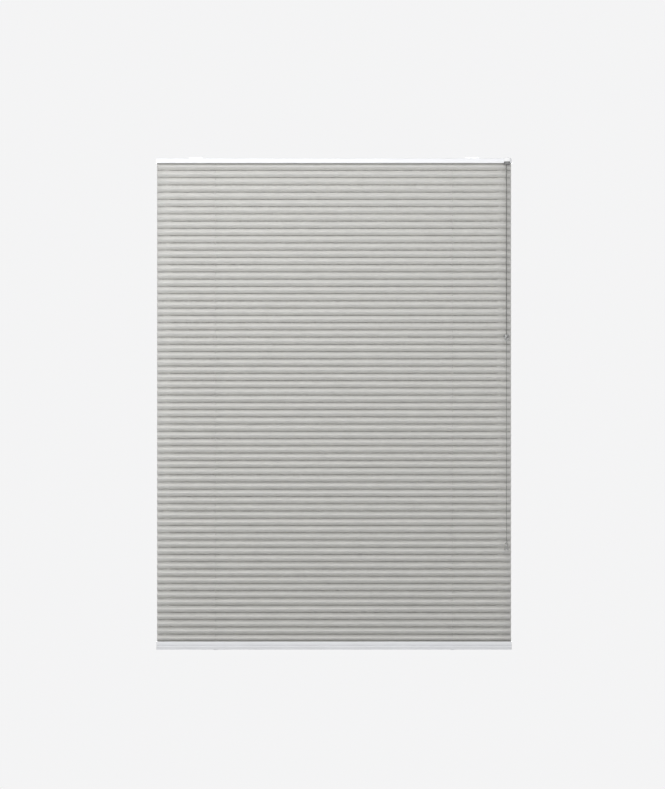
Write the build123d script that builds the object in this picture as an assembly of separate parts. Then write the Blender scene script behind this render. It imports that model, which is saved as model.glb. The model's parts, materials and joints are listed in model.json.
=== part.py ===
from build123d import *
import math
import os

# A corded pleated blind, top fixed. Millimetres, X across, -Y towards the room, +Z up.
# The origin is on the ceiling plane, midway between the two bracket screws.

# Whole blind
blind_width = 900.0  # over the headrail's end caps
blind_drop = 1246.0  # ceiling plane to the bottom rail's underside

# Headrail extrusion: an upper chamber for brackets and cords, a lower one for the fabric
rail_depth = 24.0
rail_wall = 1.2
rail_corner = 1.0
rail_web = 1.0
rail_play = 2.5  # ceiling plane to the rail's top
top_lip = 4.2  # reach of each upper lip, from the outer face
low_lip = 5.0  # reach of each lower lip, from the outer face
carrier_height = 3.4  # lower chamber, lip to web

# Bottom rail extrusion
foot_depth = 20.0
foot_height = 20.6
foot_wall = 1.2
foot_corner = 1.6
foot_lip = 3.2
foot_carrier = 3.0  # upper chamber, lip to web
groove_drop = 8.8  # bottom rail's top to the groove
groove_height = 4.0  # its opening
groove_back = 1.5  # its upright back; from there its lower side slopes out
groove_depth = 1.8
foot_taper = 3.0  # how far each face leans in from the groove down to the underside

# End caps
cap_thickness = 1.5
cap_plug = 8.0
cap_clearance = 0.15

# Pleated fabric
facet = 20.0  # one panel, crease to crease
fabric_thickness = 0.35
fabric_side_gap = 0.2  # fabric's side edge, in from the end caps
pleat_pitch = 18.4  # wanted spacing, made even over the drop
first_nose_drop = 9.8  # headrail's underside to the first front crease
last_nose_rise = 7.4  # bottom rail's top to the last front crease
tab_margin = 0.5  # fabric's turn inside the slot's edge
strip_thickness = 1.0
strip_clearance = 0.8  # strip's edge to the chamber's side
fabric_hole_clearance = 0.35  # cord to the punched hole's edge
strip_hole_clearance = 1.45

# Brackets
bracket_inset = 100.0  # bracket's middle, in from the blind's end
bracket_length = 30.0
bracket_plate = 1.2
bracket_hook = 2.2
bracket_clearance = 0.8  # bracket's leg to the rail's lip
screw_radius = 2.25

# Cords and their guides
cord_diameter = 1.1
cord_gap = 0.2  # between two cords side by side
cord_stack_gap = 0.3  # between the upper and the lower cord in the headrail
cord_headroom = 0.65  # upper cord to the lock's lid
lift_inset = 150.0  # lift cord, in from the blind's end
guide_length = 14.0
guide_width = 10.0
guide_flange = 1.0
guide_spigot_radius = 3.0
guide_spigot_drop = 0.7  # below the web
guide_bore_clearance = 0.55
guide_clearance = 0.1
cord_clearance = 0.15
bend_radius = 2.0

# Cord lock in the headrail's right end
outlet_inset = 14.0  # pull cords, in from the blind's end
lock_behind = 15.5  # lock body, from the pull cords inward
lock_ahead = 9.0  # lock body and nose, from the pull cords outward
lock_wall = 1.3
lock_floor = 0.6
lock_lid = 0.75
lock_clearance = 0.15
nose_behind = 6.0  # nose, from the pull cords inward
nose_front = 3.0  # nose, in front of the pull cords
nose_top_gap = 0.6  # below the ceiling plane
nose_floor = 3.45  # lower cord's underside to the nose's underside
nose_corner = 1.0
channel_half = 3.0
roller_radius = 3.0
pin_radius = 0.8
pin_clearance = 0.07
pin_seat_clearance = 0.05
pawl_back = 6.0  # pawl's pivot, back along the cords from the roller
pawl_boss = 2.0
pawl_room = 1.35  # pawl's boss to the housing's back wall
pawl_tooth = 0.5
part_gap = 0.2  # above and below a turning part

# Outlet eyelet
eyelet_length = 15.0
eyelet_width = 7.2
eyelet_height = 8.1
eyelet_wall = 1.8
eyelet_collar = 1.5
eyelet_collar_wall = 0.6
eyelet_round = 1.6
eyelet_standoff = 2.4  # behind it, to the headrail's face

# Connector, pull cord and tassel
connector_drop = 455.0  # ceiling plane to the connector's middle
connector_half = 9.0  # each half's height
connector_neck = 2.6  # flat at each end
connector_cavity = 4.6
connector_seat = 5.4  # split plane to the shoulder that each knot bears on
connector_socket = 3.0  # depth of the snap socket
connector_wall = 1.3
connector_clearance = 0.12
connector_standoff = 0.8  # connector to what it passes as the blind goes up
knot_radius = 2.4
knot_height = 3.4
knot_round = 0.9
tassel_drop = 971.0  # ceiling plane to the tassel's top
tassel_height = 22.0
tassel_top_wall = 0.3  # beside the knot
tassel_radius = 5.2
tassel_wall = 1.2

# Cord anchors under the bottom rail
anchor_wall = 1.0
anchor_rim = 2.0  # flange beyond the anchor's stem
anchor_flange = 1.0
anchor_height = 9.0
anchor_clearance = 0.1
anchor_recess = 5.0

# Sizes worked out from the ones above
half_width = blind_width / 2
cord_radius = cord_diameter / 2
cord_stack = cord_diameter + cord_stack_gap
cord_offset = (cord_diameter + cord_gap) / 2
lowest_cord = guide_flange + cord_clearance + cord_radius
cord_chamber = lowest_cord + cord_stack + cord_radius + cord_headroom + lock_lid + lock_clearance
rail_height = 2 * rail_wall + carrier_height + rail_web + cord_chamber
fabric_hole_radius = cord_radius + fabric_hole_clearance
strip_hole_radius = cord_radius + strip_hole_clearance
guide_bore_radius = cord_radius + guide_bore_clearance
connector_radius = connector_cavity + 2 * connector_wall
anchor_radius = knot_radius + anchor_clearance + anchor_wall
tassel_top_radius = knot_radius + tassel_top_wall

# Places worked out from the sizes above
rail_end = half_width - cap_thickness
rail_top = -rail_play
rail_bottom = rail_top - rail_height
rail_face = -rail_depth / 2
rail_inside = rail_depth / 2 - rail_wall
lip_underside = rail_top - rail_wall
carrier_floor = rail_bottom + rail_wall
web_bottom = carrier_floor + carrier_height
web_top = web_bottom + rail_web
top_slot = rail_depth / 2 - top_lip
low_slot = rail_depth / 2 - low_lip

foot_bottom = -blind_drop
foot_top = foot_bottom + foot_height
foot_inside = foot_depth / 2 - foot_wall
hollow_inside = foot_inside - foot_taper
foot_slot = foot_depth / 2 - foot_lip
foot_roof = foot_top - foot_wall
foot_web_top = foot_roof - foot_carrier
foot_web_bottom = foot_web_top - foot_wall
groove_top = foot_top - groove_drop
groove_bottom = groove_top - groove_height

first_nose = rail_bottom - first_nose_drop
last_nose = foot_top + last_nose_rise
pitches = round((first_nose - last_nose) / pleat_pitch)
pitch = (first_nose - last_nose) / pitches
pleat_depth = math.sqrt(facet**2 - (pitch / 2) ** 2)
crease_reach = fabric_thickness / (pitch / facet)
fabric_front = pleat_depth / 2 + crease_reach

lift_x = half_width - lift_inset
cord_x = half_width - outlet_inset
connector_reach = max(fabric_front, foot_depth / 2) + connector_standoff + connector_radius
eyelet_reach = rail_depth / 2 + eyelet_standoff + eyelet_width / 2
cord_y = -max(connector_reach, eyelet_reach)
low_cord_z = web_top + lowest_cord
high_cord_z = low_cord_z + cord_stack
guide_bottom = web_bottom - guide_spigot_drop

nose_bottom = low_cord_z - cord_radius - nose_floor
eyelet_bottom = nose_bottom - eyelet_height
nose_x = cord_x + (lock_ahead - nose_behind) / 2

connector_z = -connector_drop
tassel_top = -tassel_drop
pieces = {}


def block(x0, x1, y0, y1, z0, z1):
    """A box between two corners."""
    centre = Pos((x0 + x1) / 2, (y0 + y1) / 2, (z0 + z1) / 2)
    return centre * Box(x1 - x0, y1 - y0, z1 - z0)


def rod(x, y, z0, z1, radius):
    """An upright cylinder from z0 up to z1."""
    return Pos(x, y, (z0 + z1) / 2) * Cylinder(radius, z1 - z0)


def turned(outline, x, y, z):
    """A body turned about an upright axis; the outline gives (radius, height) from z."""
    face = Plane.XZ * make_face(outline)
    return Pos(x, y, z) * revolve(face, Axis.Z)


def rounded_bar(half, depth, z0, z1, corner):
    """A bar along X with its four long edges rounded."""
    bar = block(-half, half, -depth / 2, depth / 2, z0, z1)
    return fillet(bar.edges().filter_by(Axis.X), corner)


def foot_bar(x0, x1):
    """The bottom rail's outer shape: upright above the groove, leaning in below it."""
    half_low = foot_depth / 2 - foot_taper
    outline = Polyline(
        (-foot_depth / 2, foot_top),
        (foot_depth / 2, foot_top),
        (foot_depth / 2, groove_bottom),
        (half_low, foot_bottom),
        (-half_low, foot_bottom),
        (-foot_depth / 2, groove_bottom),
        close=True,
    )
    bar = Pos(x0, 0, 0) * extrude(Plane.YZ * make_face(outline), amount=x1 - x0, dir=(1, 0, 0))
    levels = bar.edges().filter_by(Axis.X).group_by(Axis.Z)
    return fillet(levels[0] + levels[-1], foot_corner)


def cord_tube(points, radii):
    """A cord laid along straight runs joined by arcs."""
    path = FilletPolyline(*points, radius=radii)
    start = Plane(origin=path @ 0, z_dir=path % 0)
    tube = sweep(start * Circle(cord_radius), path=path)
    expected = math.pi * cord_radius**2 * path.length
    print("cord", round(path.length, 2), "mm, arcs", radii, "volume ratio", round(tube.volume / expected, 4))
    return tube


def add_headrail():
    """The extrusion, with its guide holes and the notch that the lock's nose stands in."""
    rail = rounded_bar(rail_end, rail_depth, rail_bottom, rail_top, rail_corner)
    rail -= block(-rail_end, rail_end, -rail_inside, rail_inside, web_top, lip_underside)
    rail -= block(-rail_end, rail_end, -top_slot, top_slot, lip_underside, rail_top)
    rail -= block(-rail_end, rail_end, -rail_inside, rail_inside, carrier_floor, web_bottom)
    rail -= block(-rail_end, rail_end, -low_slot, low_slot, rail_bottom, carrier_floor)
    for side in (-1, 1):
        hole = guide_spigot_radius + guide_clearance
        rail -= rod(side * lift_x, 0, web_bottom, web_top, hole)
    notch_x0 = cord_x - nose_behind - lock_clearance
    notch_x1 = cord_x + lock_ahead + lock_clearance
    notch_bottom = web_top - lock_clearance
    rail -= block(notch_x0, notch_x1, rail_face, -rail_inside, notch_bottom, rail_top)
    rail -= block(notch_x0, notch_x1, rail_face, -top_slot, lip_underside, rail_top)
    pieces["headrail"] = rail


def add_headrail_caps():
    """End caps: a face plate with one plug above the web and one below it."""
    plug_y = rail_inside - cap_clearance
    lock_end = cord_x + lock_ahead
    upper_plug = rail_end - lock_end - lock_clearance
    low_plug_bottom = carrier_floor + fabric_thickness + cap_clearance
    for name, side in (("left", -1), ("right", 1)):
        plate = rounded_bar(cap_thickness / 2, rail_depth, rail_bottom, rail_top, rail_corner)
        cap = Pos(side * (rail_end + cap_thickness / 2), 0, 0) * plate
        inner = side * (rail_end - upper_plug)
        x0, x1 = sorted((inner, side * rail_end))
        cap += block(x0, x1, -plug_y, plug_y, web_top + cap_clearance, lip_underside - cap_clearance)
        inner = side * (rail_end - cap_plug)
        x0, x1 = sorted((inner, side * rail_end))
        cap += block(x0, x1, -plug_y, plug_y, low_plug_bottom, web_bottom - cap_clearance)
        pieces["headrail_end_cap_" + name] = cap


def add_brackets():
    """Spring clips: a plate screwed up to the ceiling, its two legs hooked under the lips."""
    leg_out = top_slot - bracket_clearance
    leg_in = leg_out - bracket_plate
    hook_bottom = lip_underside - bracket_plate
    for name, side in (("left", -1), ("right", 1)):
        x = side * (half_width - bracket_inset)
        x0 = x - bracket_length / 2
        x1 = x + bracket_length / 2
        clip = block(x0, x1, -leg_out, leg_out, -bracket_plate, 0)
        for front in (-1, 1):
            y0, y1 = sorted((front * leg_in, front * leg_out))
            clip += block(x0, x1, y0, y1, hook_bottom, 0)
            y0, y1 = sorted((front * leg_in, front * (leg_out + bracket_hook)))
            clip += block(x0, x1, y0, y1, hook_bottom, lip_underside)
        clip -= rod(x, 0, -bracket_plate, 0, screw_radius)
        pieces["mounting_bracket_" + name] = clip


def add_fabric():
    """One sheet folded into even pleats, with a flat tab in each rail and punched cord holes."""
    half = rail_end - fabric_side_gap
    top_turn = low_slot - tab_margin
    low_turn = foot_slot - tab_margin
    tab_top = carrier_floor + fabric_thickness
    low_tab_bottom = foot_roof - fabric_thickness
    line = [(top_turn, tab_top)]
    for number in range(pitches + 1):
        nose = first_nose - number * pitch
        line.append((-pleat_depth / 2, nose))
        line.append((pleat_depth / 2, nose - pitch / 2))
    line[-1] = (low_turn, low_tab_bottom)
    front = [(y - crease_reach, z) for y, z in line]
    back = [(y + crease_reach, z) for y, z in reversed(line)]
    section = Plane.YZ * make_face(Polyline(*front, *back, close=True))
    sheet = Pos(-half, 0, 0) * extrude(section, amount=2 * half, dir=(1, 0, 0))
    top_edge = rail_inside - strip_clearance
    low_edge = foot_inside - strip_clearance
    sheet += block(-half, half, -top_edge, top_turn + crease_reach, carrier_floor, tab_top)
    sheet += block(-half, half, -low_edge, low_turn + crease_reach, low_tab_bottom, foot_roof)
    for side in (-1, 1):
        sheet -= rod(side * lift_x, 0, foot_web_top, web_bottom, fabric_hole_radius)
    pieces["pleated_fabric"] = sheet
    print("pleats", pitches + 1, "pitch", round(pitch, 3), "depth", round(pleat_depth, 2))


def add_fabric_strips():
    """Stiff strips that hold the fabric's tabs in the two rails."""
    half = rail_end - cap_plug - strip_clearance
    top_edge = rail_inside - strip_clearance
    low_edge = foot_inside - strip_clearance
    top_z = carrier_floor + fabric_thickness
    low_z = foot_roof - fabric_thickness
    top_strip = block(-half, half, -top_edge, top_edge, top_z, top_z + strip_thickness)
    low_strip = block(-half, half, -low_edge, low_edge, low_z - strip_thickness, low_z)
    for side in (-1, 1):
        top_strip -= rod(side * lift_x, 0, top_z, top_z + strip_thickness, strip_hole_radius)
        low_strip -= rod(side * lift_x, 0, low_z - strip_thickness, low_z, strip_hole_radius)
    pieces["top_fabric_strip"] = top_strip
    pieces["bottom_fabric_strip"] = low_strip


def add_cord_guides():
    """Flanged bushes that turn the lift cords into the headrail."""
    for name, side in (("left", -1), ("right", 1)):
        x = side * lift_x
        x0 = x - guide_length / 2
        x1 = x + guide_length / 2
        top = web_top + guide_flange
        guide = block(x0, x1, -guide_width / 2, guide_width / 2, web_top, top)
        guide += rod(x, 0, guide_bottom, web_top, guide_spigot_radius)
        guide -= rod(x, 0, guide_bottom, top, guide_bore_radius)
        flare = guide_flange + guide_clearance
        guide -= Pos(x, 0, top - flare / 2) * Cone(guide_bore_radius, guide_bore_radius + flare, flare)
        pieces["cord_guide_" + name] = guide


def add_cord_lock():
    """The lock's moulded housing with its nose, the lid, the roller, the pawl and their pins."""
    x0 = cord_x - lock_behind
    x1 = cord_x + lock_ahead
    side_y = rail_inside - lock_clearance
    lid_top = lip_underside - lock_clearance
    lid_bottom = lid_top - lock_lid
    floor_top = web_top + lock_floor
    inner_y = side_y - lock_wall
    pawl_side = inner_y - pawl_room - pawl_boss
    nose_x0 = cord_x - nose_behind
    nose_y0 = cord_y - nose_front
    nose_y1 = rail_face - lock_clearance
    channel_top = high_cord_z + cord_radius + cord_clearance
    channel_end = cord_y - nose_front + lock_wall

    housing = block(x0, x1, -side_y, side_y, web_top, lid_bottom)
    housing -= block(x0 + lock_wall, x1 - lock_wall, -inner_y, inner_y, floor_top, lid_bottom)
    housing += block(nose_x0, x1, nose_y1, -side_y, web_top, lid_bottom)
    nose = block(nose_x0, x1, nose_y0, nose_y1, nose_bottom, -nose_top_gap)
    front_edges = nose.edges().filter_by(Axis.Z).sort_by(Axis.Y)[:2]
    nose = fillet(front_edges + nose.edges().filter_by(Axis.X).sort_by(Axis.Y)[:2], nose_corner)
    housing += nose
    channel_y1 = -inner_y + part_gap
    channel = (cord_x - channel_half, cord_x + channel_half)
    housing -= block(*channel, channel_end, channel_y1, floor_top, channel_top)
    mouth = SlotOverall(mouth_length(0), mouth_width(0))
    mouth_cut = extrude(mouth, amount=channel_top - nose_bottom)
    housing -= Pos(nose_x, cord_y, nose_bottom) * mouth_cut
    entry = cord_diameter + cord_clearance
    housing -= block(x0, x0 + lock_wall, -entry, entry, floor_top, lid_bottom)

    roller_reach = roller_radius + cord_clearance + cord_radius
    roller_x = cord_x - cord_offset - roller_reach
    roller_y = -roller_reach
    pawl_x = roller_x - pawl_back
    seat = pin_radius + pin_seat_clearance
    lid = block(x0, x1, -side_y, side_y, lid_bottom, lid_top)
    for pin_x, pin_y in ((roller_x, roller_y), (pawl_x, pawl_side)):
        housing -= rod(pin_x, pin_y, web_top, floor_top, seat)
        lid -= rod(pin_x, pin_y, lid_bottom, lid_top, seat)
    pieces["cord_lock_housing"] = housing
    pieces["cord_lock_lid"] = lid
    pieces["lock_roller_pin"] = rod(roller_x, roller_y, web_top, lid_top, pin_radius)
    pieces["lock_pawl_pin"] = rod(pawl_x, pawl_side, web_top, lid_top, pin_radius)

    low = floor_top + part_gap
    high = lid_bottom - part_gap
    bore = pin_radius + pin_clearance
    roller = rod(roller_x, roller_y, low, high, roller_radius)
    pieces["lock_roller"] = roller - rod(roller_x, roller_y, low, high, bore)

    tip_y = cord_radius + cord_clearance
    arm = [
        (pawl_x - pawl_boss, pawl_side),
        (roller_x - 2 * pawl_tooth, tip_y),
        (roller_x - pawl_tooth, tip_y + pawl_tooth),
        (roller_x, tip_y),
        (roller_x + pawl_tooth, tip_y + pawl_tooth),
        (roller_x + 2 * pawl_tooth, tip_y),
        (roller_x + 4 * pawl_tooth, tip_y + 2 * pawl_tooth),
        (pawl_x + pawl_boss / 2, pawl_side + pawl_boss * math.sqrt(3) / 2),
    ]
    pawl = Pos(0, 0, low) * extrude(make_face(Polyline(*arm, close=True)), amount=high - low)
    pawl += rod(pawl_x, pawl_side, low, high, pawl_boss)
    pieces["lock_pawl"] = pawl - rod(pawl_x, pawl_side, low, high, bore)
    print("roller axis", round(roller_x, 3), round(roller_y, 3))
    print("pawl axis", round(pawl_x, 3), round(pawl_side, 3))


def mouth_length(clearance):
    """Length of the nose's mouth, less a clearance for the eyelet's collar."""
    return eyelet_length - 2 * eyelet_wall + 2 * eyelet_collar_wall - 2 * clearance


def mouth_width(clearance):
    """Width of the nose's mouth, less a clearance for the eyelet's collar."""
    return eyelet_width - 2 * eyelet_wall + 2 * eyelet_collar_wall - 2 * clearance


def add_eyelet():
    """The oval eyelet under the lock's nose, where the pull cords come out."""
    body = extrude(SlotOverall(eyelet_length, eyelet_width), amount=eyelet_height)
    body = fillet(body.faces().sort_by(Axis.Z)[0].edges(), eyelet_round)
    collar = SlotOverall(mouth_length(lock_clearance), mouth_width(lock_clearance))
    body += extrude(collar, amount=eyelet_height + eyelet_collar)
    hole = SlotOverall(eyelet_length - 2 * eyelet_wall, eyelet_width - 2 * eyelet_wall)
    body -= extrude(hole, amount=eyelet_height + eyelet_collar)
    pieces["outlet_eyelet"] = Pos(nose_x, cord_y, eyelet_bottom) * body


def add_cords():
    """Two lift cords: up through the fabric, along the headrail, out of the lock to the connector."""
    roller_reach = roller_radius + cord_clearance + cord_radius
    knot_top = connector_z + connector_seat
    cords = (
        ("left", -lift_x, high_cord_z, cord_x + cord_offset),
        ("right", lift_x, low_cord_z, cord_x - cord_offset),
    )
    for name, x, run_z, out_x in cords:
        route = [
            (x, 0, guide_bottom),
            (x, 0, run_z),
            (out_x, 0, run_z),
            (out_x, cord_y, run_z),
            (out_x, cord_y, eyelet_bottom),
        ]
        pieces["headrail_cord_" + name] = cord_tube(route, [bend_radius, roller_reach, bend_radius])
        anchor_knot_top = foot_bottom + anchor_recess
        pieces["lift_cord_" + name] = rod(x, 0, anchor_knot_top, guide_bottom, cord_radius)
        pieces["upper_pull_cord_" + name] = rod(out_x, cord_y, knot_top, eyelet_bottom, cord_radius)


def knot(x, y, top):
    """A tight round knot, flat where the cord meets it."""
    body = rod(x, y, top - knot_height, top, knot_radius)
    return fillet(body.edges().filter_by(GeomType.CIRCLE), knot_round)


def connector_shell():
    """One half of the connector, standing on its split plane: a hollow dome with a cord hole."""
    bulge = math.sqrt(0.5)
    crown = (
        connector_neck + (connector_radius - connector_neck) * bulge,
        connector_half * bulge,
    )
    outline = Polyline((connector_neck, connector_half), (0, connector_half), (0, 0), (connector_radius, 0))
    outline += ThreePointArc((connector_radius, 0), crown, (connector_neck, connector_half))
    dome = revolve(Plane.XZ * make_face(outline), Axis.Z)
    dome -= rod(0, 0, 0, connector_seat, connector_cavity)
    hole = cord_offset + cord_radius + cord_clearance
    return dome - rod(0, 0, connector_seat, connector_half, hole)


def add_connector():
    """A break-away connector in two halves, snapped together, with a knot held in each."""
    place = Pos(cord_x, cord_y, connector_z)
    socket = connector_cavity + connector_wall
    upper = connector_shell() - rod(0, 0, 0, connector_socket, socket)
    spigot = rod(0, 0, 0, connector_socket - connector_clearance, socket - connector_clearance)
    spigot -= rod(0, 0, 0, connector_socket, connector_cavity)
    lower = Rot(180, 0, 0) * connector_shell() + spigot
    pieces["connector_upper_half"] = place * upper
    pieces["connector_lower_half"] = place * lower
    pieces["connector_knot_upper"] = knot(cord_x, cord_y, connector_z + connector_seat)
    pieces["connector_knot_lower"] = knot(cord_x, cord_y, connector_z - connector_seat + knot_height)


def add_pull_cord_and_tassel():
    """The single pull cord and its hollow bell-shaped tassel, held up by a knot."""
    crown = -2 * tassel_wall
    outline = Polyline(
        (0, 0),
        (tassel_top_radius, 0),
        (tassel_top_radius, crown),
        (tassel_radius, -tassel_height),
        (tassel_radius - tassel_wall, -tassel_height),
        (tassel_top_radius - tassel_wall / 4, 2 * crown),
        (0, 2 * crown),
        close=True,
    )
    bell = turned(outline, cord_x, cord_y, tassel_top)
    bell -= rod(cord_x, cord_y, tassel_top + 2 * crown, tassel_top, cord_radius + cord_clearance)
    lower_rim = bell.edges().filter_by(GeomType.CIRCLE).group_by(Axis.Z)[0]
    bell = fillet(lower_rim, tassel_wall / 3)
    knot_top = tassel_top + 2 * crown
    pieces["tassel"] = bell
    pieces["tassel_knot"] = knot(cord_x, cord_y, knot_top)
    pieces["pull_cord"] = rod(cord_x, cord_y, knot_top, connector_z - connector_seat, cord_radius)


def add_bottom_rail():
    """The bottom extrusion: a slotted chamber for the fabric over a closed hollow."""
    foot = foot_bar(-rail_end, rail_end)
    hollow_z = foot_bottom + foot_wall
    foot -= block(-rail_end, rail_end, -foot_inside, foot_inside, foot_web_top, foot_roof)
    foot -= block(-rail_end, rail_end, -foot_slot, foot_slot, foot_roof, foot_top)
    foot -= block(-rail_end, rail_end, -hollow_inside, hollow_inside, hollow_z, foot_web_bottom)
    for front in (-1, 1):
        outline = Polyline(
            (front * foot_depth / 2, groove_top),
            (front * (foot_depth / 2 - groove_depth), groove_top),
            (front * (foot_depth / 2 - groove_depth), groove_top - groove_back),
            (front * foot_depth / 2, groove_bottom),
            close=True,
        )
        groove = extrude(Plane.YZ * make_face(outline), amount=2 * rail_end, dir=(1, 0, 0))
        foot -= Pos(-rail_end, 0, 0) * groove
    for side in (-1, 1):
        foot -= rod(side * lift_x, 0, foot_bottom, hollow_z, anchor_radius + anchor_clearance)
        foot -= rod(side * lift_x, 0, foot_web_bottom, foot_web_top, strip_hole_radius)
    pieces["bottom_rail"] = foot


def add_bottom_caps():
    """End caps of the bottom rail, each with a plug in the lower hollow."""
    plug_y = hollow_inside - cap_clearance
    plug_z0 = foot_bottom + foot_wall + cap_clearance
    plug_z1 = foot_web_bottom - cap_clearance
    for name, side in (("left", -1), ("right", 1)):
        x0, x1 = sorted((side * rail_end, side * half_width))
        cap = foot_bar(x0, x1)
        x0, x1 = sorted((side * (rail_end - cap_plug), side * rail_end))
        cap += block(x0, x1, -plug_y, plug_y, plug_z0, plug_z1)
        pieces["bottom_rail_end_cap_" + name] = cap


def add_cord_anchors():
    """Buttons under the bottom rail that hold the lift cords' knots."""
    for name, side in (("left", -1), ("right", 1)):
        x = side * lift_x
        anchor = rod(x, 0, foot_bottom, foot_bottom + anchor_height, anchor_radius)
        flange = rod(x, 0, foot_bottom - anchor_flange, foot_bottom, anchor_radius + anchor_rim)
        flange = fillet(flange.edges().filter_by(GeomType.CIRCLE).sort_by(Axis.Z)[:1], anchor_flange / 2)
        anchor += flange
        recess_radius = knot_radius + anchor_clearance
        anchor -= rod(x, 0, foot_bottom - anchor_flange, foot_bottom + anchor_recess, recess_radius)
        bore = cord_radius + cord_clearance
        anchor -= rod(x, 0, foot_bottom + anchor_recess, foot_bottom + anchor_height, bore)
        pieces["cord_anchor_" + name] = anchor
        pieces["lift_cord_knot_" + name] = knot(x, 0, foot_bottom + anchor_recess)


add_headrail()
add_headrail_caps()
add_brackets()
add_fabric()
add_fabric_strips()
add_cord_guides()
add_cord_lock()
add_eyelet()
add_cords()
add_connector()
add_pull_cord_and_tassel()
add_bottom_rail()
add_bottom_caps()
add_cord_anchors()

os.makedirs("parts", exist_ok=True)
for node, piece in pieces.items():
    export_step(piece, "parts/" + node + ".step")
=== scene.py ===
import json
import math

import bmesh
import bpy
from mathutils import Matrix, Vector, noise


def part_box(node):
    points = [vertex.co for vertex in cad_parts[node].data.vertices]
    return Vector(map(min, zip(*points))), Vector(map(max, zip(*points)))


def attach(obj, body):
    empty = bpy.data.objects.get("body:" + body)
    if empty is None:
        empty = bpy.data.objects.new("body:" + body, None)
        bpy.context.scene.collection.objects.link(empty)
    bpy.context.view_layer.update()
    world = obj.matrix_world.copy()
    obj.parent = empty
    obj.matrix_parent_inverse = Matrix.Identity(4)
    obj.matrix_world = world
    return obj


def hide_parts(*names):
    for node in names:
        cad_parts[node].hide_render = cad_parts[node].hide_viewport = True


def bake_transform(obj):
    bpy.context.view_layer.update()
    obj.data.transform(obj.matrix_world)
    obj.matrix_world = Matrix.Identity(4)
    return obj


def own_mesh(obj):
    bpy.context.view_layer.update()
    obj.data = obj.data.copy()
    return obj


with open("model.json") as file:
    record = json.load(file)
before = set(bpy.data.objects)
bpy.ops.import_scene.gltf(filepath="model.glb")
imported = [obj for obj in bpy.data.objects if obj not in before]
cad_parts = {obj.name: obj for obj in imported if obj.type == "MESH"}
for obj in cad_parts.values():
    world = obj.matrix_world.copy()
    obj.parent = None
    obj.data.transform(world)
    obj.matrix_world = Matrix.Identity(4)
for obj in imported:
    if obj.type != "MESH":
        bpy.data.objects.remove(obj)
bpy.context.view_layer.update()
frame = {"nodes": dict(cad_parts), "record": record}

# Metres, in the CAD frame: X across, -Y towards the room, +Z up, z = 0 on the ceiling plane.
# Boxes of the CAD nodes that the looks are built around
rail_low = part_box("headrail")[0]
foot_low, foot_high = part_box("bottom_rail")
cloth_low, cloth_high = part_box("pleated_fabric")

# Camera: level, far off, a little below the blind's middle height
CAMERA_DISTANCE = 10.8  # from the headrail's face
CAMERA_X = -0.0039
CAMERA_Z = -0.6002
PICTURE_HEIGHT = 1.9963  # seen at the headrail's face

# Cloth, folded as in the CAD model
FACET = 0.020
PLEAT_PITCH = 0.0184
FIRST_NOSE_DROP = 0.0098
LAST_NOSE_RISE = 0.0074
CLOTH_THICKNESS = 0.00035
RAIL_WALL = 0.0012
TOP_SLOT_HALF = 0.0070
FOOT_SLOT_HALF = 0.0068
TAB_MARGIN = 0.0005
STRIP_CLEARANCE = 0.0008
CREASE_RADIUS = 0.0004
CREASE_STEPS = 3
HOLE_RADIUS = 0.0009
HOLE_PATCH = 0.0030  # half side of the square of cloth around a punched hole
HOLE_SIDES = 16
COLUMN_WIDTH = 0.040
WAVER = 0.00010  # how far the cloth strays from its exact folds
WAVER_ACROSS = 4  # waves per metre of width
WAVER_ALONG = 25  # waves per metre along the sheet
LIFT_X = (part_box("lift_cord_left")[0].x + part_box("lift_cord_left")[1].x) / 2

# Cords
CORD_DIAMETER = 0.0011
CORD_SIDES = 12
CORD_STEP = 0.0010
BRAID_STRANDS = 4
BRAID_PITCH = 0.0016

# Connector: two hollow halves that meet at its middle height
SHELL_RADIUS = 0.0072
SHELL_HEIGHT = 0.0090
SHELL_NECK = 0.0026
SHELL_HOLE = 0.00135
SHELL_CAVITY = 0.0046
SHELL_SEAT = 0.0054
SHELL_SOCKET = 0.0030
SHELL_SPIGOT = 0.0059
SHELL_PLAY = 0.00012
SHELL_EDGE = 0.00025
SEAM_ANGLE = 1.6  # degrees above the seam at which each dome's curve begins
CROWN_ANGLE = 84  # degrees at which it meets the rounded neck
DOME_STEPS = 18

# Tassel
BELL_TOP = 0.0027
BELL_CROWN = 0.0048
BELL_WALL = 0.0012
BELL_ROUND = 0.0006
BELL_STEPS = 20
BELL_FLARE = 1.25  # above 1 the skirt opens faster near its mouth
BELL_HOLE_PLAY = 0.00015

# Knots
KNOT_RADIUS = 0.00115
KNOT_SWELL = 0.00062
KNOT_RISE = 0.0011
KNOT_CORD = 0.0005
KNOT_STEPS = 72


# ------------------------------------------------------------------ camera
def make_camera():
    """A long lens, level, square to the blind."""
    data = bpy.data.cameras.new("camera")
    camera = bpy.data.objects.new("camera", data)
    bpy.context.scene.collection.objects.link(camera)
    camera.location = (CAMERA_X, rail_low.y - CAMERA_DISTANCE, CAMERA_Z)
    camera.rotation_euler = (math.radians(90), 0, 0)
    data.sensor_width = 36.0
    data.lens = data.sensor_width * CAMERA_DISTANCE / PICTURE_HEIGHT
    data.clip_end = 100
    bpy.context.scene.camera = camera


# ------------------------------------------------------------------ helpers
def new_object(name, mesh):
    """A mesh object in the scene, smooth shaded."""
    piece = bpy.data.objects.new(name, mesh)
    bpy.context.scene.collection.objects.link(piece)
    mesh.polygons.foreach_set("use_smooth", [True] * len(mesh.polygons))
    return piece


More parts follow.
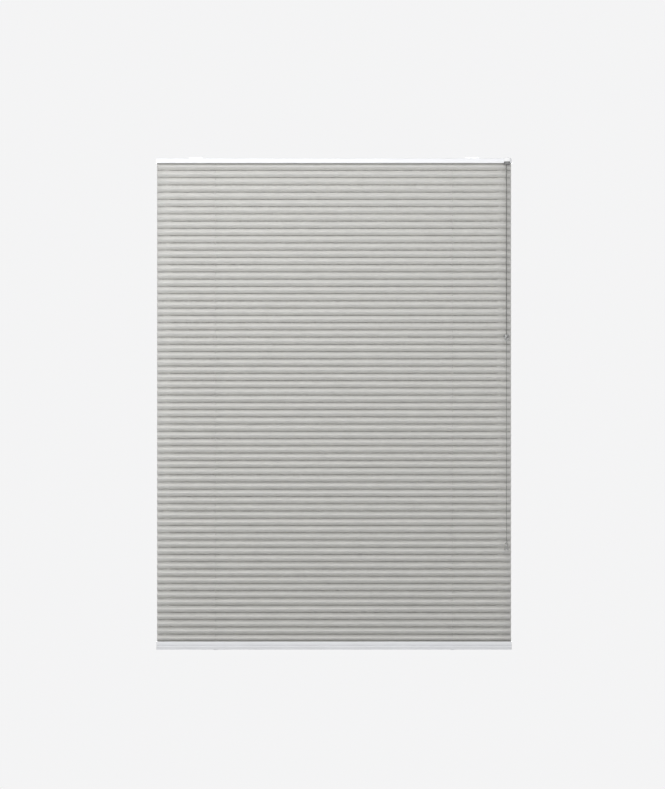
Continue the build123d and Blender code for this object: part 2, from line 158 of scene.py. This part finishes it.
def route_points(points):
    """Points along the smooth NURBS line whose control points are given."""
    curve = bpy.data.curves.new("route", "CURVE")
    curve.dimensions = "3D"
    curve.resolution_u = 12
    spline = curve.splines.new("NURBS")
    spline.points.add(len(points) - 1)
    for knot, point in zip(spline.points, points):
        knot.co = (*point, 1)
    spline.order_u = 3
    spline.use_endpoint_u = True
    holder = bpy.data.objects.new("route", curve)
    bpy.context.scene.collection.objects.link(holder)
    bpy.context.view_layer.update()
    mesh = bpy.data.meshes.new_from_object(holder)
    found = [v.co.copy() for v in mesh.vertices]
    bpy.data.objects.remove(holder)
    bpy.data.meshes.remove(mesh)
    return found


def upright_tube(name, x, y, z_low, z_high, diameter):
    """A straight hanging cord as a closed tube; its UV map is (turn, length)."""
    rows = max(2, round((z_high - z_low) / CORD_STEP))
    mesh = bpy.data.meshes.new(name)
    bm = bmesh.new()
    uv = bm.loops.layers.uv.new("Cord")
    radius = diameter / 2
    rings = []
    for row in range(rows + 1):
        z = z_high + (z_low - z_high) * row / rows
        ring = []
        for side in range(CORD_SIDES):
            turn = 2 * math.pi * side / CORD_SIDES
            ring.append(bm.verts.new((x + radius * math.cos(turn), y + radius * math.sin(turn), z)))
        rings.append(ring)
    for row in range(rows):
        for side in range(CORD_SIDES):
            after = (side + 1) % CORD_SIDES
            corners = (rings[row][side], rings[row + 1][side], rings[row + 1][after], rings[row][after])
            face = bm.faces.new(corners)
            turns = (side, side, side + 1, side + 1)
            steps = (row, row + 1, row + 1, row)
            for loop, turn, step in zip(face.loops, turns, steps):
                loop[uv].uv = (turn / CORD_SIDES, (z_high - z_low) * step / rows)
    bm.faces.new(rings[0])
    bm.faces.new(list(reversed(rings[-1])))
    bm.normal_update()
    bm.to_mesh(mesh)
    bm.free()
    return new_object(name, mesh)


def lathe(name, x, y, outline, sides=48):
    """A closed body turned about an upright axis from a loop of (radius, z) points."""
    mesh = bpy.data.meshes.new(name)
    bm = bmesh.new()
    rings = []
    for radius, z in outline:
        if radius < 1e-6:
            rings.append([bm.verts.new((x, y, z))])
            continue
        ring = []
        for side in range(sides):
            turn = 2 * math.pi * side / sides
            ring.append(bm.verts.new((x + radius * math.cos(turn), y + radius * math.sin(turn), z)))
        rings.append(ring)
    for here, there in zip(rings, rings[1:] + rings[:1]):
        for side in range(sides):
            after = (side + 1) % sides
            if len(here) == 1 and len(there) == 1:
                continue
            if len(here) == 1:
                bm.faces.new((here[0], there[side], there[after]))
            elif len(there) == 1:
                bm.faces.new((here[side], there[0], here[after]))
            else:
                bm.faces.new((here[side], there[side], there[after], here[after]))
    bmesh.ops.recalc_face_normals(bm, faces=bm.faces)
    bm.to_mesh(mesh)
    bm.free()
    return new_object(name, mesh)


# ------------------------------------------------------------------ node helpers
def material(name):
    """A new node material and its main shader."""
    made = bpy.data.materials.new(name)
    made.use_nodes = True
    return made, made.node_tree.nodes["Principled BSDF"]


def node(made, kind, **settings):
    """A node in a material, with its settings and its inputs' values."""
    made_node = made.node_tree.nodes.new(kind)
    for key, value in settings.items():
        if key in made_node.inputs:
            made_node.inputs[key].default_value = value
        else:
            setattr(made_node, key, value)
    return made_node


def join(made, source, target):
    """A link from one socket to another."""
    made.node_tree.links.new(source, target)


def maths(made, operation, first, second=None):
    """A math node on two sockets or numbers; gives its output."""
    found = node(made, "ShaderNodeMath", operation=operation)
    for number, value in enumerate((first, second)):
        if value is None:
            continue
        if isinstance(value, bpy.types.NodeSocket):
            join(made, value, found.inputs[number])
        else:
            found.inputs[number].default_value = value
    return found.outputs[0]


def ramp(made, source, stops):
    """A colour ramp from a list of (place, colour)."""
    found = node(made, "ShaderNodeValToRGB")
    elements = found.color_ramp.elements
    while len(elements) < len(stops):
        elements.new(0.5)
    for element, (place, colour) in zip(elements, stops):
        element.position = place
        element.color = (*colour, 1)
    join(made, source, found.inputs["Fac"])
    return found.outputs["Color"]


def bump(made, shader, height, distance, strength=1.0):
    """A bump from a height socket into the shader's normal."""
    found = node(made, "ShaderNodeBump", Strength=strength, Distance=distance)
    join(made, height, found.inputs["Height"])
    join(made, found.outputs["Normal"], shader.inputs["Normal"])
    return found


def shade(colour, share):
    """A colour made lighter or darker."""
    return tuple(channel * share for channel in colour)


# ------------------------------------------------------------------ materials
CLOTH_COLOUR = (0.665, 0.66, 0.638)
THREAD = 0.00042  # spacing of the cloth's threads
SLUBS = (38, 900)  # stretched noise per metre, across and along the sheet
BLOTCHES = (22, 60)


def cloth_material():
    """Warm light grey polyester: plain weave, stretched slubs, a soft sheen."""
    made, shader = material("pleated cloth")
    place = node(made, "ShaderNodeUVMap", uv_map="Cloth")
    parts = node(made, "ShaderNodeSeparateXYZ")
    join(made, place.outputs["UV"], parts.inputs[0])
    across, along = parts.outputs[0], parts.outputs[1]

    slub_place = node(made, "ShaderNodeCombineXYZ")
    join(made, maths(made, "MULTIPLY", across, SLUBS[0]), slub_place.inputs[0])
    join(made, maths(made, "MULTIPLY", along, SLUBS[1]), slub_place.inputs[1])
    slub = node(made, "ShaderNodeTexNoise", Scale=1.0, Detail=3.0, Roughness=0.6)
    join(made, slub_place.outputs[0], slub.inputs["Vector"])

    blotch_place = node(made, "ShaderNodeCombineXYZ")
    join(made, maths(made, "MULTIPLY", across, BLOTCHES[0]), blotch_place.inputs[0])
    join(made, maths(made, "MULTIPLY", along, BLOTCHES[1]), blotch_place.inputs[1])
    blotch = node(made, "ShaderNodeTexNoise", Scale=1.0, Detail=2.0)
    join(made, blotch_place.outputs[0], blotch.inputs["Vector"])

    fine = maths(made, "MULTIPLY", slub.outputs[0], 0.7)
    broad = maths(made, "MULTIPLY", blotch.outputs[0], 0.3)
    mixed = maths(made, "ADD", fine, broad)
    colour = ramp(made, mixed, [(0.30, shade(CLOTH_COLOUR, 0.90)), (0.70, shade(CLOTH_COLOUR, 1.08))])
    join(made, colour, shader.inputs["Base Color"])

    turns = 2 * math.pi / (2 * THREAD)
    warp = maths(made, "SINE", maths(made, "MULTIPLY", across, turns))
    weft = maths(made, "SINE", maths(made, "MULTIPLY", along, turns))
    weave = maths(made, "MULTIPLY", warp, weft)
    threads = maths(made, "ADD", weave, maths(made, "MULTIPLY", slub.outputs[0], 1.2))
    bump(made, shader, threads, 0.00006, 0.5)
    shader.inputs["Roughness"].default_value = 0.86
    shader.inputs["Specular IOR Level"].default_value = 0.25
    shader.inputs["Sheen Weight"].default_value = 0.15
    shader.inputs["Sheen Roughness"].default_value = 0.5
    shader.inputs["Subsurface Weight"].default_value = 0.15
    shader.inputs["Subsurface Radius"].default_value = (1.0, 1.0, 0.95)
    shader.inputs["Subsurface Scale"].default_value = 0.0004
    return made


COAT_DARK = (0.81, 0.82, 0.84)
COAT_LIGHT = (0.845, 0.855, 0.875)


def coated_material():
    """White powder coat: a fine orange peel over the extrusion, slightly uneven gloss."""
    made, shader = material("white powder coat")
    place = node(made, "ShaderNodeTexCoord")
    peel = node(made, "ShaderNodeTexNoise", Scale=1400.0, Detail=2.0)
    join(made, place.outputs["Object"], peel.inputs["Vector"])
    cloud = node(made, "ShaderNodeTexNoise", Scale=14.0, Detail=3.0)
    join(made, place.outputs["Object"], cloud.inputs["Vector"])
    colour = ramp(made, cloud.outputs[0], [(0.3, COAT_DARK), (0.7, COAT_LIGHT)])
    join(made, colour, shader.inputs["Base Color"])
    spread = node(made, "ShaderNodeMapRange")
    spread.inputs["To Min"].default_value = 0.30
    spread.inputs["To Max"].default_value = 0.42
    join(made, cloud.outputs[0], spread.inputs["Value"])
    join(made, spread.outputs[0], shader.inputs["Roughness"])
    bump(made, shader, peel.outputs[0], 0.00002, 0.4)
    return made


def moulded_material(name, colour, rough, grain=2200.0):
    """Moulded plastic with a fine spark-eroded grain."""
    made, shader = material(name)
    place = node(made, "ShaderNodeTexCoord")
    fine = node(made, "ShaderNodeTexNoise", Scale=grain, Detail=2.0)
    join(made, place.outputs["Object"], fine.inputs["Vector"])
    cloud = node(made, "ShaderNodeTexNoise", Scale=60.0, Detail=2.0)
    join(made, place.outputs["Object"], cloud.inputs["Vector"])
    tint = ramp(made, cloud.outputs[0], [(0.3, shade(colour, 0.96)), (0.7, shade(colour, 1.03))])
    join(made, tint, shader.inputs["Base Color"])
    spread = node(made, "ShaderNodeMapRange")
    spread.inputs["To Min"].default_value = rough - 0.05
    spread.inputs["To Max"].default_value = rough + 0.07
    join(made, fine.outputs[0], spread.inputs["Value"])
    join(made, spread.outputs[0], shader.inputs["Roughness"])
    bump(made, shader, fine.outputs[0], 0.00002, 0.35)
    return made


def metal_material(name, colour, rough, stretch):
    """Bare or plated metal with fine drawn lines."""
    made, shader = material(name)
    place = node(made, "ShaderNodeTexCoord")
    mapped = node(made, "ShaderNodeMapping")
    mapped.inputs["Scale"].default_value = stretch
    join(made, place.outputs["Object"], mapped.inputs["Vector"])
    lines = node(made, "ShaderNodeTexNoise", Scale=1.0, Detail=4.0)
    join(made, mapped.outputs[0], lines.inputs["Vector"])
    tint = ramp(made, lines.outputs[0], [(0.3, shade(colour, 0.88)), (0.7, shade(colour, 1.05))])
    join(made, tint, shader.inputs["Base Color"])
    spread = node(made, "ShaderNodeMapRange")
    spread.inputs["To Min"].default_value = rough - 0.08
    spread.inputs["To Max"].default_value = rough + 0.10
    join(made, lines.outputs[0], spread.inputs["Value"])
    join(made, spread.outputs[0], shader.inputs["Roughness"])
    bump(made, shader, lines.outputs[0], 0.00002, 0.3)
    shader.inputs["Metallic"].default_value = 1.0
    return made


CORD_COLOUR = (0.165, 0.163, 0.155)


def cord_material(name, tint, uv_map=None):
    """Braided cord: two crossing sets of strands where there is a UV map, else a speckle."""
    made, shader = material(name)
    if uv_map:
        place = node(made, "ShaderNodeUVMap", uv_map=uv_map)
        parts = node(made, "ShaderNodeSeparateXYZ")
        join(made, place.outputs["UV"], parts.inputs[0])
        turn = maths(made, "MULTIPLY", parts.outputs[0], 2 * math.pi * BRAID_STRANDS)
        rise = maths(made, "MULTIPLY", parts.outputs[1], 2 * math.pi / BRAID_PITCH)
        one = maths(made, "SINE", maths(made, "ADD", rise, turn))
        other = maths(made, "SINE", maths(made, "SUBTRACT", rise, turn))
        strands = maths(made, "MAXIMUM", one, other)
    else:
        place = node(made, "ShaderNodeTexCoord")
        speckle = node(made, "ShaderNodeTexNoise", Scale=1500.0, Detail=2.0)
        join(made, place.outputs["Object"], speckle.inputs["Vector"])
        strands = speckle.outputs[0]
    colour = ramp(made, strands, [(0.0, shade(tint, 0.65)), (0.9, shade(tint, 1.25))])
    join(made, colour, shader.inputs["Base Color"])
    bump(made, shader, strands, 0.00008, 0.7)
    shader.inputs["Roughness"].default_value = 0.72
    shader.inputs["Sheen Weight"].default_value = 0.1
    return made


def clear_material(name, light, dark, clearness, polish):
    """Clear moulded plastic, faintly cloudy, with flow marks and a polished skin."""
    made, shader = material(name)
    place = node(made, "ShaderNodeTexCoord")
    flow = node(made, "ShaderNodeTexNoise", Scale=160.0, Detail=2.0)
    join(made, place.outputs["Object"], flow.inputs["Vector"])
    colour = ramp(made, flow.outputs[0], [(0.3, dark), (0.7, light)])
    join(made, colour, shader.inputs["Base Color"])
    bump(made, shader, flow.outputs[0], 0.00004, 0.2)
    shader.inputs["Roughness"].default_value = 0.06
    shader.inputs["IOR"].default_value = 1.49
    shader.inputs["Transmission Weight"].default_value = clearness
    shader.inputs["Coat Weight"].default_value = 1.0
    shader.inputs["Coat Roughness"].default_value = polish
    shader.inputs["Coat IOR"].default_value = 1.8
    return made


# ------------------------------------------------------------------ cloth
def crease_points():
    """The cloth's fold line as (y, z) corners, from the top tab's edge to the bottom tab's edge."""
    first_nose = rail_low.z - FIRST_NOSE_DROP
    last_nose = foot_high.z + LAST_NOSE_RISE
    pitches = round((first_nose - last_nose) / PLEAT_PITCH)
    pitch = (first_nose - last_nose) / pitches
    reach = math.sqrt(FACET**2 - (pitch / 2) ** 2) / 2
    half = CLOTH_THICKNESS / 2
    top_z = rail_low.z + RAIL_WALL + half
    low_z = foot_high.z - RAIL_WALL - half
    top_edge = rail_low.y + RAIL_WALL + STRIP_CLEARANCE
    low_edge = foot_low.y + RAIL_WALL + STRIP_CLEARANCE
    corners = [(top_edge, top_z), (TOP_SLOT_HALF - TAB_MARGIN, top_z)]
    for number in range(pitches + 1):
        nose = first_nose - number * pitch
        corners.append((-reach, nose))
        if number < pitches:
            corners.append((reach, nose - pitch / 2))
    corners.append((FOOT_SLOT_HALF - TAB_MARGIN, low_z))
    corners.append((low_edge, low_z))
    return [Vector((y, z)) for y, z in corners]


def rounded_rows(corners):
    """Rows of cloth points, each crease rounded. A row is (point, middle of the hole below it or None)."""
    rows = [(corners[0], None)]
    for number in range(1, len(corners)):
        before, here = corners[number - 1], corners[number]
        straight = here - before
        if before.x * here.x < 0:
            share = before.x / (before.x - here.x)
            middle = before + straight * share
            step = straight.normalized() * HOLE_PATCH
            rows.append((middle - step, middle))
            rows.append((middle + step, None))
        if number == len(corners) - 1:
            rows.append((here, None))
            continue
        after = corners[number + 1]
        into = (before - here).normalized()
        out = (after - here).normalized()
        opening = into.angle(out)
        back = CREASE_RADIUS / math.tan(opening / 2)
        bisector = (into + out).normalized()
        centre = here + bisector * (CREASE_RADIUS / math.sin(opening / 2))
        start = here + into * back - centre
        sweep = math.pi - opening
        side = 1 if start.x * out.y - start.y * out.x > 0 else -1
        for step in range(CREASE_STEPS + 1):
            turn = side * sweep * step / CREASE_STEPS
            spun = Vector(
                (
                    start.x * math.cos(turn) - start.y * math.sin(turn),
                    start.x * math.sin(turn) + start.y * math.cos(turn),
                )
            )
            rows.append((centre + spun, None))
    return rows


def column_places():
    """X places of the cloth's columns, with an edge on each side of both rows of holes."""
    edges = [cloth_low.x, LIFT_X - HOLE_PATCH, LIFT_X + HOLE_PATCH]
    edges += [-LIFT_X - HOLE_PATCH, -LIFT_X + HOLE_PATCH, cloth_high.x]
    places = [edges[0]]
    for low, high in zip(edges, edges[1:]):
        steps = max(1, round((high - low) / COLUMN_WIDTH))
        places += [low + (high - low) * step / steps for step in range(1, steps + 1)]
    return places


def make_cloth():
    """The pleated sheet: every facet, crease, tab and punched hole, with a UV map of the flat cloth."""
    rows = rounded_rows(crease_points())
    places = column_places()
    lengths = [0.0]
    for (before, _), (here, _) in zip(rows, rows[1:]):
        lengths.append(lengths[-1] + (here - before).length)
    mesh = bpy.data.meshes.new("pleated_cloth")
    bm = bmesh.new()
    uv = bm.loops.layers.uv.new("Cloth")

    def strayed(x, y, z, along):
        drift = noise.noise(Vector((x * WAVER_ACROSS, along * WAVER_ALONG, 0.3)))
        lift = noise.noise(Vector((x * WAVER_ACROSS, along * WAVER_ALONG, 7.7)))
        return (x, y + WAVER * drift, z + WAVER * lift)

    flat = {}
    grid = []
    for (point, _), along in zip(rows, lengths):
        line = []
        for x in places:
            vert = bm.verts.new(strayed(x, point.x, point.y, along))
            flat[vert] = (x, along)
            line.append(vert)
        grid.append(line)

    def add_face(corners):
        face = bm.faces.new(corners)
        for loop in face.loops:
            loop[uv].uv = flat[loop.vert]

    for row in range(len(rows) - 1):
        middle = rows[row][1]
        for column in range(len(places) - 1):
            upper, lower = grid[row], grid[row + 1]
            quad = (upper[column], upper[column + 1], lower[column + 1], lower[column])
            centre_x = (places[column] + places[column + 1]) / 2
            if middle is None or abs(abs(centre_x) - abs(LIFT_X)) > 1e-6:
                add_face(quad)
                continue
            direction = (rows[row + 1][0] - rows[row][0]).normalized()
            middle_along = lengths[row] + HOLE_PATCH
            ring = []
            for side in range(HOLE_SIDES):
                turn = 2 * math.pi * side / HOLE_SIDES
                across = HOLE_RADIUS * math.cos(turn)
                down = HOLE_RADIUS * math.sin(turn)
                point = middle + direction * down
                x = centre_x + across
                vert = bm.verts.new(strayed(x, point.x, point.y, middle_along + down))
                flat[vert] = (x, middle_along + down)
                ring.append(vert)
            per_corner = HOLE_SIDES // 4
            fans = ((quad[2], 0), (quad[3], 1), (quad[0], 2), (quad[1], 3))
            for corner, number in fans:
                for step in range(per_corner):
                    here = ring[(number * per_corner + step) % HOLE_SIDES]
                    there = ring[(number * per_corner + step + 1) % HOLE_SIDES]
                    add_face((corner, there, here))
                following = fans[(number + 1) % 4][0]
                add_face((corner, following, ring[((number + 1) * per_corner) % HOLE_SIDES]))
    bmesh.ops.recalc_face_normals(bm, faces=bm.faces)
    bm.to_mesh(mesh)
    bm.free()
    sheet = new_object("pleated_cloth", mesh)
    thick = sheet.modifiers.new("thickness", "SOLIDIFY")
    thick.thickness = CLOTH_THICKNESS
    thick.offset = 0
    thick.use_even_offset = False
    bpy.context.view_layer.update()
    solid = bpy.data.meshes.new_from_object(sheet.evaluated_get(bpy.context.evaluated_depsgraph_get()))
    sheet.modifiers.clear()
    sheet.data = solid
    sheet.data.materials.clear()
    sheet.data.materials.append(cloth_material())
    return sheet, lengths[-1]


# ------------------------------------------------------------------ connector, tassel, knots
def arc(centre_r, centre_z, reach_r, reach_z, start, stop, steps):
    """Points of an elliptical arc, from and to angles in degrees."""
    points = []
    for step in range(steps + 1):
        angle = math.radians(start + (stop - start) * step / steps)
        points.append((centre_r + reach_r * math.cos(angle), centre_z + reach_z * math.sin(angle)))
    return points


def connector_half(name, x, y, split_z, side):
    """A hollow dome, side 1 above the split plane or -1 below it, with a rounded rim and a cord hole."""
    outer = arc(SHELL_NECK, 0, SHELL_RADIUS - SHELL_NECK, SHELL_HEIGHT, SEAM_ANGLE, CROWN_ANGLE, DOME_STEPS)
    outline = [(SHELL_RADIUS - SHELL_EDGE, 0)] + outer
    outline += arc(SHELL_NECK - SHELL_EDGE, SHELL_HEIGHT - SHELL_EDGE, SHELL_EDGE, SHELL_EDGE, 60, 90, 3)
    hole = SHELL_HOLE if side > 0 else SHELL_HOLE - CORD_DIAMETER / 2
    outline += arc(hole + SHELL_EDGE, SHELL_HEIGHT - SHELL_EDGE, SHELL_EDGE, SHELL_EDGE, 90, 180, 4)
    outline += [(hole, SHELL_SEAT), (SHELL_CAVITY - SHELL_EDGE, SHELL_SEAT)]
    outline += [(SHELL_CAVITY, SHELL_SEAT - SHELL_EDGE)]
    if side > 0:
        outline += [(SHELL_CAVITY, SHELL_SOCKET), (SHELL_SPIGOT, SHELL_SOCKET), (SHELL_SPIGOT, 0)]
    else:
        spigot = SHELL_SPIGOT - SHELL_PLAY
        spigot_end = SHELL_PLAY - SHELL_SOCKET
        outline += [(SHELL_CAVITY, spigot_end), (spigot - SHELL_EDGE, spigot_end)]
        outline += [(spigot, spigot_end + SHELL_EDGE), (spigot, 0)]
    return lathe(name, x, y, [(radius, split_z + side * z) for radius, z in outline])


def make_tassel(x, y, low_z, high_z, mouth):
    """A hollow bell with a thick crown, a flared skirt and a rounded rim."""
    crown_z = high_z - BELL_CROWN
    hole = CORD_DIAMETER / 2 + BELL_HOLE_PLAY
    outline = [(hole, crown_z), (hole, high_z)]
    outline += arc(BELL_TOP - BELL_ROUND, high_z - BELL_ROUND, BELL_ROUND, BELL_ROUND, 90, 0, 5)
    skirt = []
    for step in range(1, BELL_STEPS + 1):
        share = step / BELL_STEPS
        spread = BELL_TOP + (mouth - BELL_TOP) * share**BELL_FLARE
        skirt.append((spread, high_z - BELL_ROUND + (low_z + BELL_WALL / 2 - high_z + BELL_ROUND) * share))
    outline += skirt
    rim = mouth - BELL_WALL / 2
    outline += arc(rim, low_z + BELL_WALL / 2, BELL_WALL / 2, BELL_WALL / 2, -20, -160, 6)
    for radius, z in reversed(skirt):
        if z < crown_z - BELL_WALL / 2:
            outline.append((radius - BELL_WALL, z))
    return lathe("tassel_bell", x, y, outline)


def make_knot(name, centre):
    """A pulled-tight overhand knot: the cord wound as a trefoil."""
    curve = bpy.data.curves.new(name, "CURVE")
    curve.dimensions = "3D"
    spline = curve.splines.new("POLY")
    spline.points.add(KNOT_STEPS - 1)
    for step, point in enumerate(spline.points):
        turn = 2 * math.pi * step / KNOT_STEPS
        reach = KNOT_RADIUS + KNOT_SWELL * math.cos(3 * turn)
        place = (reach * math.cos(2 * turn), reach * math.sin(2 * turn), KNOT_RISE * math.sin(3 * turn))
        point.co = (*(centre + Vector(place)), 1)
    spline.use_cyclic_u = True
    curve.bevel_depth = KNOT_CORD
    curve.bevel_resolution = 3
    holder = bpy.data.objects.new(name, curve)
    bpy.context.scene.collection.objects.link(holder)
    bpy.context.view_layer.update()
    mesh = bpy.data.meshes.new_from_object(holder)
    bpy.data.objects.remove(holder)
    return new_object(name, mesh)


# ------------------------------------------------------------------ build
make_camera()
bpy.context.scene.view_settings.view_transform = "Standard"


# Cords
cord_look = cord_material("braided cord", CORD_COLOUR, "Cord")
cloth_cord_look = cord_material("cloth coloured cord", shade(CLOTH_COLOUR, 0.85), "Cord")
for side in ("left", "right"):
    node_name = "upper_pull_cord_" + side
    low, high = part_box(node_name)
    middle = (low + high) / 2
    tube = upright_tube("pull_cord_upper_" + side, middle.x, middle.y, low.z, high.z, CORD_DIAMETER)
    tube.data.materials.append(cord_look)
    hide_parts(node_name)
    top, bottom = (middle.x, middle.y, high.z), (middle.x, middle.y, low.z)
    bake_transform(tube)
    line = route_points([top, tuple(middle), bottom])

low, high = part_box("pull_cord")
middle = (low + high) / 2
pull = upright_tube("pull_cord_single", middle.x, middle.y, low.z, high.z, CORD_DIAMETER)
pull.data.materials.append(cord_look)
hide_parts("pull_cord")
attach(pull, "cord_pull")
pull_line = route_points([(middle.x, middle.y, z) for z in (high.z, middle.z, low.z)])

for side in ("left", "right"):
    node_name = "lift_cord_" + side
    low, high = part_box(node_name)
    middle = (low + high) / 2
    tube = upright_tube("lift_cord_tube_" + side, middle.x, middle.y, low.z, high.z, CORD_DIAMETER)
    tube.data.materials.append(cloth_cord_look)
    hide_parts(node_name)
    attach(tube, "headrail_unit")
    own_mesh(tube)

# Cloth
cloth, cloth_length = make_cloth()
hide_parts("pleated_fabric")
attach(cloth, "headrail_unit")
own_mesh(cloth)

# Materials of the CAD bodies, by slot
finishes = {
    "white_aluminium": coated_material(),
    "white_plastic": moulded_material("white plastic", (0.83, 0.835, 0.84), 0.34),
    "spring_steel": metal_material("zinc plated steel", (0.62, 0.63, 0.65), 0.32, (30, 900, 900)),
    "strip_plastic": moulded_material("strip plastic", (0.70, 0.70, 0.68), 0.5),
    "grey_plastic": moulded_material("grey plastic", (0.13, 0.13, 0.13), 0.18),
    "pin_steel": metal_material("turned steel", (0.56, 0.56, 0.57), 0.25, (900, 900, 60)),
    "clear_plastic": clear_material("clear plastic", (0.93, 0.93, 0.92), (0.84, 0.85, 0.85), 0.9, 0.08),
    "tassel_plastic": clear_material("smoky plastic", (0.62, 0.62, 0.60), (0.52, 0.52, 0.51), 0.75, 0.10),
    "cord": cord_material("braided cord in the rail", CORD_COLOUR),
}
slots = {part["node"]: part["material_slot"] for part in frame["record"]["subparts"]}
for name, piece in frame["nodes"].items():
    finish = finishes.get(slots[name])
    if finish:
        piece.data.materials.clear()
        piece.data.materials.append(finish)

# Knots, connector and tassel
cord_pull_knots = ("connector_knot_upper", "connector_knot_lower", "tassel_knot")
lift_knots = ("lift_cord_knot_left", "lift_cord_knot_right")
knots = {}
for name in cord_pull_knots + lift_knots:
    low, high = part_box(name)
    knots[name] = make_knot(name + "_tied", (low + high) / 2)
    knots[name].data.materials.append(finishes["cord"])
    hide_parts(name)
    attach(knots[name], "bottom_rail_unit" if name in lift_knots else "cord_pull")

low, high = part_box("connector_upper_half")
middle = (low + high) / 2
on_cord = []
for name, side in (("connector_upper_half", 1), ("connector_lower_half", -1)):
    shell = connector_half(name.replace("half", "shell"), middle.x, middle.y, low.z, side)
    shell.data.materials.append(finishes["clear_plastic"])
    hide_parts(name)
    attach(shell, "cord_pull")
    on_cord.append(shell)
on_cord += [knots["connector_knot_upper"], knots["connector_knot_lower"]]

low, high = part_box("tassel")
middle = (low + high) / 2
bell = make_tassel(middle.x, middle.y, low.z, high.z, (high.x - low.x) / 2)
bell.data.materials.append(finishes["tassel_plastic"])
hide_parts("tassel")
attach(bell, "cord_pull")


# ------------------------------------------------------------------ stage and light
FLOOR_Z = -2.3
FLOOR_RADIUS = 4.0
FLOOR_DARK = (0.74, 0.74, 0.74)
FLOOR_LIGHT = (0.78, 0.78, 0.78)
FLOOR_GLOW = 0.12  # a little light of its own keeps it pale
SURROUND = (0.905, 0.905, 0.91, 1)
FILL_STRENGTH = 0.33  # the surround as a light, weaker than it looks


def area_light(name, place, target, size, power):
    """A soft rectangular light aimed at a point."""
    data = bpy.data.lights.new(name, "AREA")
    data.shape = "RECTANGLE"
    data.size, data.size_y = size
    data.energy = power
    light = bpy.data.objects.new(name, data)
    bpy.context.scene.collection.objects.link(light)
    light.location = place
    light.rotation_euler = (Vector(target) - Vector(place)).to_track_quat("-Z", "Y").to_euler()


def make_world():
    """A pale even surround."""
    world = bpy.data.worlds.new("studio")
    bpy.context.scene.world = world
    world.use_nodes = True
    nodes, links = world.node_tree.nodes, world.node_tree.links
    seen = nodes["Background"]
    seen.inputs["Color"].default_value = SURROUND
    fill = nodes.new("ShaderNodeBackground")
    fill.inputs["Color"].default_value = SURROUND
    fill.inputs["Strength"].default_value = FILL_STRENGTH
    path = nodes.new("ShaderNodeLightPath")
    mix = nodes.new("ShaderNodeMixShader")
    links.new(path.outputs["Is Camera Ray"], mix.inputs["Fac"])
    links.new(fill.outputs[0], mix.inputs[1])
    links.new(seen.outputs[0], mix.inputs[2])
    links.new(mix.outputs[0], nodes["World Output"].inputs["Surface"])


def make_floor():
    """A round pale floor, below the tassel at its lowest."""
    centre = (0, 0, FLOOR_Z)
    bpy.ops.mesh.primitive_circle_add(vertices=96, radius=FLOOR_RADIUS, fill_type="NGON", location=centre)
    floor = bpy.context.object
    floor.name = "floor"
    made, shader = material("pale floor")
    place = node(made, "ShaderNodeTexCoord")
    cloud = node(made, "ShaderNodeTexNoise", Scale=1.5, Detail=3.0)
    join(made, place.outputs["Object"], cloud.inputs["Vector"])
    colour = ramp(made, cloud.outputs[0], [(0.3, FLOOR_DARK), (0.7, FLOOR_LIGHT)])
    join(made, colour, shader.inputs["Base Color"])
    shader.inputs["Roughness"].default_value = 0.8
    shader.inputs["Emission Color"].default_value = (1, 1, 1, 1)
    shader.inputs["Emission Strength"].default_value = FLOOR_GLOW
    floor.data.materials.append(made)


make_world()
make_floor()
# Each light: name, place, what it is aimed at, size, watts
area_light("front", (-0.3, -3.2, -0.5), (0, 0, -0.6), (2.0, 1.0), 10)
area_light("top front", (-0.4, -1.4, 0.9), (0, 0, -0.4), (2.0, 0.6), 15)
area_light("level", (0.0, -2.2, 0.1), (0, 0, -0.1), (2.0, 0.6), 11.5)
area_light("window", (-1.5, -1.9, -0.1), (0, 0, -0.5), (0.26, 1.6), 9)
area_light("back", (0.3, 3.0, -0.3), (0, 0, -0.6), (2.0, 1.2), 60)
for side in (-1, 1):
    area_light("side", (side * 1.4, -0.2, -0.6), (0, 0, -0.6), (1.4, 1.6), 4.5)
